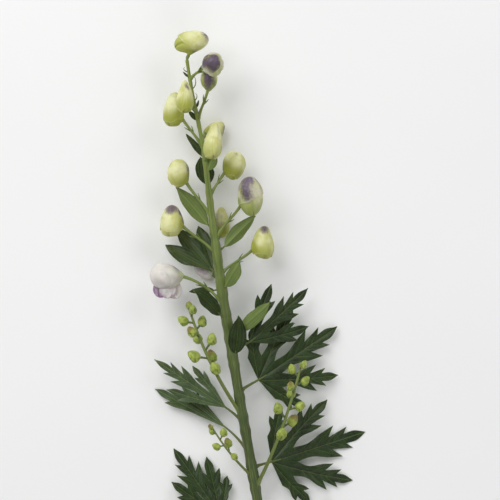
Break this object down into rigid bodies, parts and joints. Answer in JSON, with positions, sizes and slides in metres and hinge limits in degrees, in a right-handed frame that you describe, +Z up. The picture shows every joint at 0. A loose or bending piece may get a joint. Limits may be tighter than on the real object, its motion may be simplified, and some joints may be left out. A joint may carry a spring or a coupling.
{
  "type": "cut monkshood stem",
  "caption": "Cut monkshood stem lying flat: cream and purple hooded buds, palmately cut leaves and side sprays.",
  "frame": {"origin": "on the table, under the middle of the lying stem", "axes": "+Y from the cut end to the flowering tip, +X to the right seen from above, +Z up from the table"},
  "size_m": [0.1696, 0.607, 0.0524],
  "materials": {
    "stem": "green stem, satin, finely ribbed, darker towards the cut",
    "leaf": "dark green leaf, softly glossy above, paler and matt beneath",
    "bract": "mid green narrow leaf with parallel veins, satin",
    "sepal": "cream to yellow green, finely downy, flushed purple in places",
    "dark_sepal": "dusky purple shading to cream green, finely downy",
    "white_sepal": "greyed white with a violet edge, finely downy",
    "young_bud": "bright yellow green, tinged brown in places"
  },
  "bodies": {
    "root": {"stem": "stem", "bloom_01": "sepal", "bloom_02": "dark_sepal", "bloom_03": "dark_sepal", "bloom_04": "sepal", "bloom_05": "sepal", "bloom_06": "sepal", "bloom_07": "sepal", "bloom_08": "sepal", "bloom_09": "sepal", "bloom_10": "dark_sepal", "bloom_11": "white_sepal", "bloom_12": "dark_sepal", "bloom_13": "white_sepal", "bloom_14": "sepal", "bloom_15": "sepal", "bract_leaf_01": "bract", "bract_leaf_02": "bract", "bract_leaf_03": "bract", "bract_leaf_04": "bract", "bract_leaf_05": "bract", "bract_leaf_06": "bract", "bract_leaf_07": "bract", "bract_leaf_08": "bract", "bract_leaf_09": "bract", "bract_leaf_10": "bract", "bract_leaf_11": "bract", "bract_leaf_12": "bract", "bract_leaf_13": "bract", "cut_leaf_01": "leaf", "cut_leaf_02": "leaf", "cut_leaf_03": "leaf", "cut_leaf_04": "leaf", "cut_leaf_05": "leaf", "cut_leaf_06": "leaf", "cut_leaf_07": "leaf", "cut_leaf_08": "leaf", "side_spray_01": "young_bud", "side_spray_02": "young_bud", "side_spray_03": "young_bud"}
  },
  "joints": []
}
